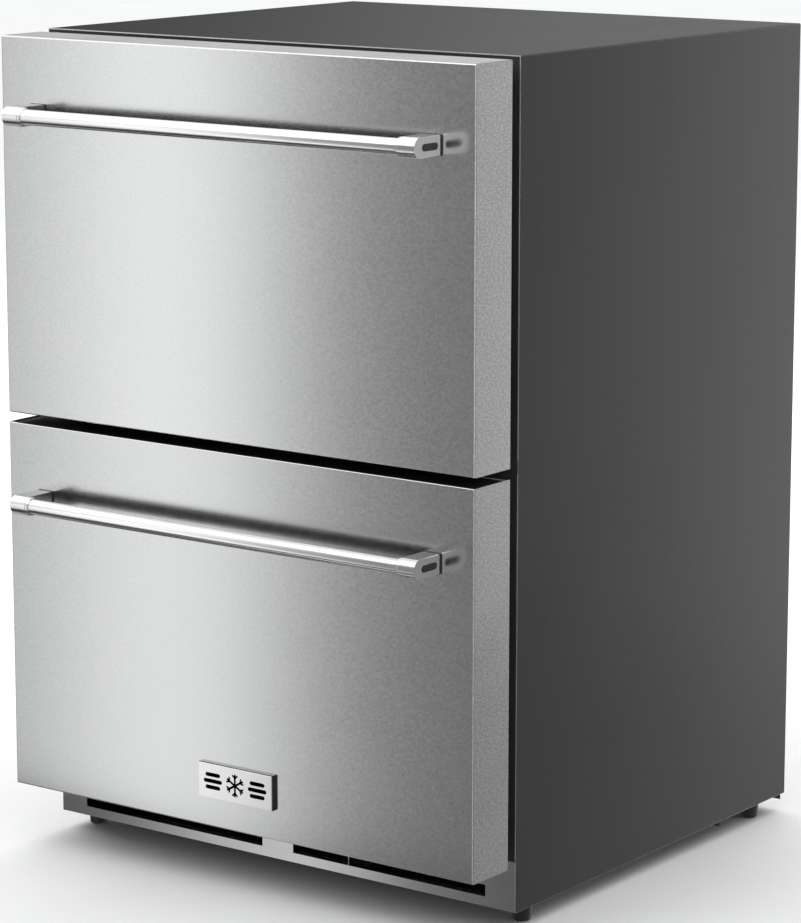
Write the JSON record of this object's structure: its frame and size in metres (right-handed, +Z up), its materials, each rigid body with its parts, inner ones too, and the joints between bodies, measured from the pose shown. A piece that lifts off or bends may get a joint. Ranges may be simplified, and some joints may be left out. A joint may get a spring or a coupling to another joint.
{
  "type": "under counter fridge",
  "caption": "Under-counter drawer refrigerator: dark steel cabinet, brushed steel drawers with bar handles on telescopic runners, kick grille, levelling feet and cooling unit.",
  "frame": {"origin": "on the floor under the middle of the whole object, handles included", "axes": "+Z up, -Y towards the drawer fronts, +X to the right seen from the front"},
  "size_m": [0.595, 0.637, 0.863],
  "materials": {
    "cabinet_paint": "satin",
    "front_steel": "satin",
    "handle_metal": "polished",
    "badge_metal": "satin",
    "bin_steel": "satin",
    "zinc_steel": "satin",
    "screw_steel": "satin",
    "black_paint": "satin",
    "black_plastic": "matte",
    "liner_plastic": "satin",
    "button_plastic": "satin",
    "fan_plastic": "satin",
    "display_plastic": "gloss",
    "lamp_plastic": "satin",
    "board_laminate": "satin",
    "gasket_rubber": "matte",
    "rubber": "matte",
    "foam": "matte",
    "coil_aluminium": "satin",
    "copper": "satin"
  },
  "bodies": {
    "cabinet": {"outer_wrapper": "cabinet_paint", "back_panel": "cabinet_paint", "rear_grille": "cabinet_paint", "cord_gland": "black_plastic", "base_pan": "black_paint", "rear_channel": "black_paint", "kick_grille": "front_steel", "air_baffle": "zinc_steel", "front_frame": "black_plastic", "centre_mullion": "black_plastic", "inner_liner": "liner_plastic", "insulation": "foam", "cabinet_screws": "screw_steel", "evaporator_cover": "liner_plastic", "evaporator_coil": "coil_aluminium", "evaporator_fan_motor": "black_plastic", "lamp_lens": "lamp_plastic", "control_housing": "liner_plastic", "display_lens": "display_plastic", "control_board": "board_laminate", "compressor": "black_paint", "compressor_grommets": "rubber", "drip_tray": "black_plastic", "condenser_coil": "black_paint", "condenser_fan_motor": "black_plastic", "refrigerant_lines": "copper", "runner_outer_members": "zinc_steel"},
    "upper_drawer": {"upper_front_skin": "front_steel", "upper_front_cap": "black_plastic", "upper_inner_panel": "liner_plastic", "upper_front_foam": "foam", "upper_gasket": "gasket_rubber", "upper_handle_bar": "handle_metal", "upper_handle_posts": "handle_metal", "upper_handle_pads": "black_plastic", "upper_bin": "bin_steel", "upper_runner_inner": "zinc_steel"},
    "lower_drawer": {"lower_front_skin": "front_steel", "lower_front_cap": "black_plastic", "lower_inner_panel": "liner_plastic", "lower_front_foam": "foam", "lower_gasket": "gasket_rubber", "lower_handle_bar": "handle_metal", "lower_handle_posts": "handle_metal", "lower_handle_pads": "black_plastic", "lower_bin": "bin_steel", "lower_runner_inner": "zinc_steel", "badge_plate": "badge_metal"},
    "upper_runner_middle": {"upper_runner_middle": "zinc_steel"},
    "lower_runner_middle": {"lower_runner_middle": "zinc_steel"},
    "evaporator_fan": {"evaporator_fan": "fan_plastic"},
    "condenser_fan": {"condenser_fan": "fan_plastic"},
    "power_button": {"power_button": "button_plastic"},
    "colder_button": {"colder_button": "button_plastic"},
    "warmer_button": {"warmer_button": "button_plastic"},
    "foot_front_left": {"foot_front_left": "black_plastic"},
    "foot_front_right": {"foot_front_right": "black_plastic"},
    "foot_rear_left": {"foot_rear_left": "black_plastic"},
    "foot_rear_right": {"foot_rear_right": "black_plastic"}
  },
  "joints": [
    {"name": "upper_drawer_slide", "type": "slide", "parent": "cabinet", "child": "upper_drawer", "axis": [0, -1, 0], "range_m": [0, 0.36]},
    {"name": "lower_drawer_slide", "type": "slide", "parent": "cabinet", "child": "lower_drawer", "axis": [0, -1, 0], "range_m": [0, 0.36]},
    {"name": "upper_runner_slide", "type": "slide", "parent": "cabinet", "child": "upper_runner_middle", "axis": [0, -1, 0], "range_m": [0, 0.18]},
    {"name": "lower_runner_slide", "type": "slide", "parent": "cabinet", "child": "lower_runner_middle", "axis": [0, -1, 0], "range_m": [0, 0.18]},
    {"name": "evaporator_fan_spin", "type": "hinge", "parent": "cabinet", "child": "evaporator_fan", "pos_m": [0, 0.206, 0.735], "axis": [0, 1, 0], "continuous": true},
    {"name": "condenser_fan_spin", "type": "hinge", "parent": "cabinet", "child": "condenser_fan", "pos_m": [0.19, 0.166, 0.124], "axis": [0, 1, 0], "continuous": true},
    {"name": "power_button_press", "type": "slide", "parent": "cabinet", "child": "power_button", "axis": [0, 1, 0], "range_m": [0, 0.001], "stiffness_N_per_m": 300, "springref_m": -0.0005},
    {"name": "colder_button_press", "type": "slide", "parent": "cabinet", "child": "colder_button", "axis": [0, 1, 0], "range_m": [0, 0.001], "stiffness_N_per_m": 300, "springref_m": -0.0005},
    {"name": "warmer_button_press", "type": "slide", "parent": "cabinet", "child": "warmer_button", "axis": [0, 1, 0], "range_m": [0, 0.001], "stiffness_N_per_m": 300, "springref_m": -0.0005},
    {"name": "foot_front_left_turn", "type": "hinge", "parent": "cabinet", "child": "foot_front_left", "pos_m": [-0.279, -0.1645, 0], "axis": [0, 0, 1], "continuous": true},
    {"name": "foot_front_right_turn", "type": "hinge", "parent": "cabinet", "child": "foot_front_right", "pos_m": [0.279, -0.1645, 0], "axis": [0, 0, 1], "continuous": true},
    {"name": "foot_rear_left_turn", "type": "hinge", "parent": "cabinet", "child": "foot_rear_left", "pos_m": [-0.279, 0.2735, 0], "axis": [0, 0, 1], "continuous": true},
    {"name": "foot_rear_right_turn", "type": "hinge", "parent": "cabinet", "child": "foot_rear_right", "pos_m": [0.279, 0.2735, 0], "axis": [0, 0, 1], "continuous": true}
  ],
  "couplings": [
    {"joint": "upper_runner_slide", "follows": "upper_drawer_slide", "ratio": 0.5},
    {"joint": "lower_runner_slide", "follows": "lower_drawer_slide", "ratio": 0.5}
  ]
}
